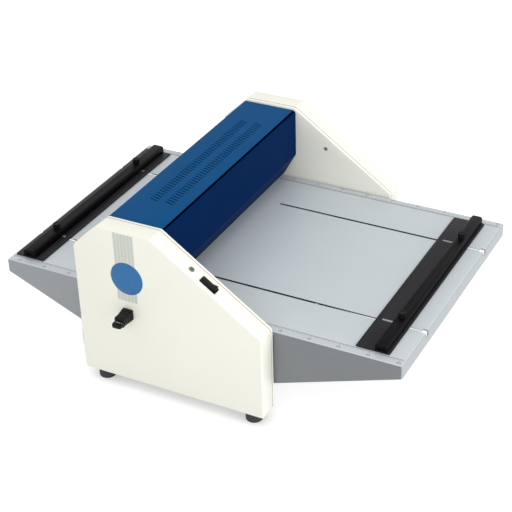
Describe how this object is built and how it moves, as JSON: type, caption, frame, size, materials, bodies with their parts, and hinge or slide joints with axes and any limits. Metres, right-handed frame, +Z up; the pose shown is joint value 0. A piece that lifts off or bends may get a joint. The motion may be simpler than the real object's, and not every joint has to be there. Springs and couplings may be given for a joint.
{
  "type": "desktop paper creasing machine",
  "caption": "Desktop paper creasing machine with hollow sides, a hinged vented hood over a driven crease blade, slotted tables and sliding clamped stops.",
  "frame": {"origin": "middle of the footprint's box at desk level", "axes": "+X along the paper path towards the long front table, +Y to the far side, away from the selector knob, +Z up"},
  "size_m": [0.732, 0.593, 0.3075],
  "materials": {
    "cream_paint": "fine satin powder coat",
    "table_paint": "light grey satin coat",
    "hood_paint": "blue satin coat",
    "black_anodised": "black anodised",
    "black_plastic": "fine grained",
    "black_rubber": "matt",
    "bright_steel": "zinc plated",
    "blade_steel": "ground",
    "beam_steel": "dark grey coat",
    "bronze": "plain bearing bronze",
    "gear_steel": "hobbed",
    "motor_paint": "black coat",
    "alloy": "die cast",
    "board_green": "solder resist",
    "lamp_green": "clear tinted",
    "badge_blue": "smooth",
    "ruler_film": "printed film"
  },
  "bodies": {
    "machine": {"side_frame_near": "cream_paint", "side_frame_far": "cream_paint", "base_plate": "bright_steel", "tie_bars": "bright_steel", "side_cover_near": "cream_paint", "side_cover_far": "cream_paint", "cover_screws": "bright_steel", "rubber_feet": "black_rubber", "infeed_table": "table_paint", "outfeed_table": "table_paint", "infeed_rulers": "ruler_film", "outfeed_rulers": "ruler_film", "table_screws": "bright_steel", "lower_beam": "beam_steel", "crease_matrix": "blade_steel", "beam_bolts": "bright_steel", "guide_gibs": "bronze", "shaft_bushes": "bronze", "motor_body": "motor_paint", "gearbox": "alloy", "motor_bracket": "bright_steel", "rear_panel": "hood_paint", "hinge_rod": "bright_steel", "cover_sensor": "black_plastic", "selector_switch": "black_plastic", "switch_housing": "black_plastic", "pilot_lamp": "lamp_green", "badge_disc": "badge_blue", "control_board": "board_green", "mains_inlet": "black_plastic", "pedal_socket": "black_plastic"},
    "hood_leaf": {"hood": "hood_paint", "hinge_brackets": "bright_steel", "cover_magnet": "bright_steel"},
    "crease_lift": {"upper_beam": "beam_steel", "blade_holder": "black_anodised", "crease_blade": "blade_steel", "holder_screws": "bright_steel", "ejector_rubbers": "black_rubber", "lift_plate_near": "bright_steel", "lift_plate_far": "bright_steel", "lift_screws": "bright_steel"},
    "drive_shaft": {"eccentric_shaft": "bright_steel", "eccentric_near": "gear_steel", "eccentric_far": "gear_steel", "retaining_rings": "bright_steel", "drive_gear": "gear_steel"},
    "motor_shaft": {"motor_pinion": "gear_steel"},
    "infeed_stop": {"infeed_stop_strip": "black_anodised", "infeed_stop_rail": "black_anodised", "infeed_t_nuts": "bright_steel"},
    "outfeed_stop": {"outfeed_stop_strip": "black_anodised", "outfeed_stop_rail": "black_anodised", "outfeed_t_nuts": "bright_steel"},
    "infeed_clamp_near": {"infeed_knob_near": "black_plastic"},
    "infeed_clamp_far": {"infeed_knob_far": "black_plastic"},
    "outfeed_clamp_near": {"outfeed_knob_near": "black_plastic"},
    "outfeed_clamp_far": {"outfeed_knob_far": "black_plastic"},
    "selector": {"selector_knob": "black_plastic"},
    "rocker": {"power_rocker": "black_plastic"}
  },
  "joints": [
    {"name": "hood_hinge", "type": "hinge", "parent": "machine", "child": "hood_leaf", "pos_m": [-0.1354, 0.02, 0.296], "axis": [0, -1, 0], "range_deg": [0, 100]},
    {"name": "shaft_turn", "type": "hinge", "parent": "machine", "child": "drive_shaft", "pos_m": [-0.0934, 0.02, 0.078], "axis": [0, 1, 0], "range_deg": [0, 180]},
    {"name": "crease_stroke", "type": "slide", "parent": "machine", "child": "crease_lift", "axis": [0, 0, -1], "range_m": [0, 0.006]},
    {"name": "pinion_turn", "type": "hinge", "parent": "machine", "child": "motor_shaft", "pos_m": [-0.0394, 0.02, 0.078], "axis": [0, 1, 0], "range_deg": [-515, 0]},
    {"name": "infeed_stop_slide", "type": "slide", "parent": "machine", "child": "infeed_stop", "axis": [1, 0, 0], "range_m": [-0.3, 0.024]},
    {"name": "outfeed_stop_slide", "type": "slide", "parent": "machine", "child": "outfeed_stop", "axis": [1, 0, 0], "range_m": [-0.005, 0.12]},
    {"name": "infeed_clamp_near_turn", "type": "hinge", "parent": "infeed_stop", "child": "infeed_clamp_near", "pos_m": [0.3236, -0.1135, 0.1805], "axis": [0, 0, 1], "range_deg": [0, 360]},
    {"name": "infeed_clamp_far_turn", "type": "hinge", "parent": "infeed_stop", "child": "infeed_clamp_far", "pos_m": [0.3236, 0.1535, 0.1805], "axis": [0, 0, 1], "range_deg": [0, 360]},
    {"name": "outfeed_clamp_near_turn", "type": "hinge", "parent": "outfeed_stop", "child": "outfeed_clamp_near", "pos_m": [-0.3304, -0.1135, 0.1805], "axis": [0, 0, 1], "range_deg": [0, 360]},
    {"name": "outfeed_clamp_far_turn", "type": "hinge", "parent": "outfeed_stop", "child": "outfeed_clamp_far", "pos_m": [-0.3304, 0.1535, 0.1805], "axis": [0, 0, 1], "range_deg": [0, 360]},
    {"name": "selector_turn", "type": "hinge", "parent": "machine", "child": "selector", "pos_m": [-0.0954, -0.2565, 0.1554], "axis": [0, 1, 0], "range_deg": [0, 90]},
    {"name": "rocker_press", "type": "hinge", "parent": "machine", "child": "rocker", "pos_m": [0.04926, -0.24175, 0.24006], "axis": [0, 1, 0], "range_deg": [0, 24]}
  ],
  "couplings": [
    {"joint": "shaft_turn", "follows": "crease_stroke", "rad_per_m": 523.59},
    {"joint": "pinion_turn", "follows": "crease_stroke", "rad_per_m": -1496}
  ]
}
